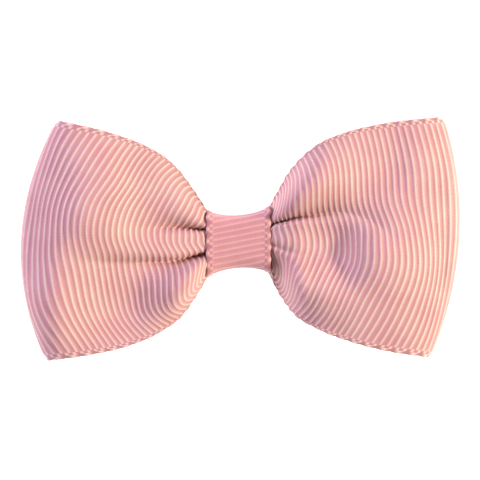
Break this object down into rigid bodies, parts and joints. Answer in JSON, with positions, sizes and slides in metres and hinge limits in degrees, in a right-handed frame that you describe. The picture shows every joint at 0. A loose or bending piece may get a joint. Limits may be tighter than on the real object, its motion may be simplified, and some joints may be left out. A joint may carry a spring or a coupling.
{
  "type": "hair bow",
  "caption": "Hair bow of folded ribbed ribbon, gathered at the middle under a narrow ribbon wrap, on a sprung clip.",
  "frame": {"origin": "on the flat underside of the clip's prong, under the middle of the bow's outline", "axes": "the bow lies face up: +X along the bow towards the clip's finger tabs, +Y up its face, +Z out of its face"},
  "size_m": [0.0682, 0.038, 0.0172],
  "materials": {
    "bow_ribbon": "ribbed grosgrain, soft sheen",
    "wrap_ribbon": "ribbed grosgrain, soft sheen",
    "thread": "twisted sewing thread",
    "glue": "set hot-melt glue, milky",
    "clip_steel": "nickel-plated pressed steel",
    "pin_steel": "plain steel rivet",
    "spring_steel": "drawn spring wire"
  },
  "bodies": {
    "bow": {"left_loop": "bow_ribbon", "right_loop": "bow_ribbon", "gathered_waist": "bow_ribbon", "gather_thread": "thread", "thread_knot": "thread", "centre_wrap": "wrap_ribbon", "wrap_glue": "glue", "bow_glue": "glue", "clip_lining": "wrap_ribbon", "clip_top_arm": "clip_steel", "clip_pin": "pin_steel", "clip_spring": "spring_steel"},
    "prong": {"clip_prong": "clip_steel"}
  },
  "joints": [
    {"name": "clip_hinge", "type": "hinge", "parent": "bow", "child": "prong", "pos_m": [0.011, -0.0004, 0.0029], "axis": [0, -1, 0], "range_deg": [0, 30], "stiffness_Nm_per_rad": 0.03, "springref_deg": -34.38, "deforming": ["clip_spring"]}
  ]
}
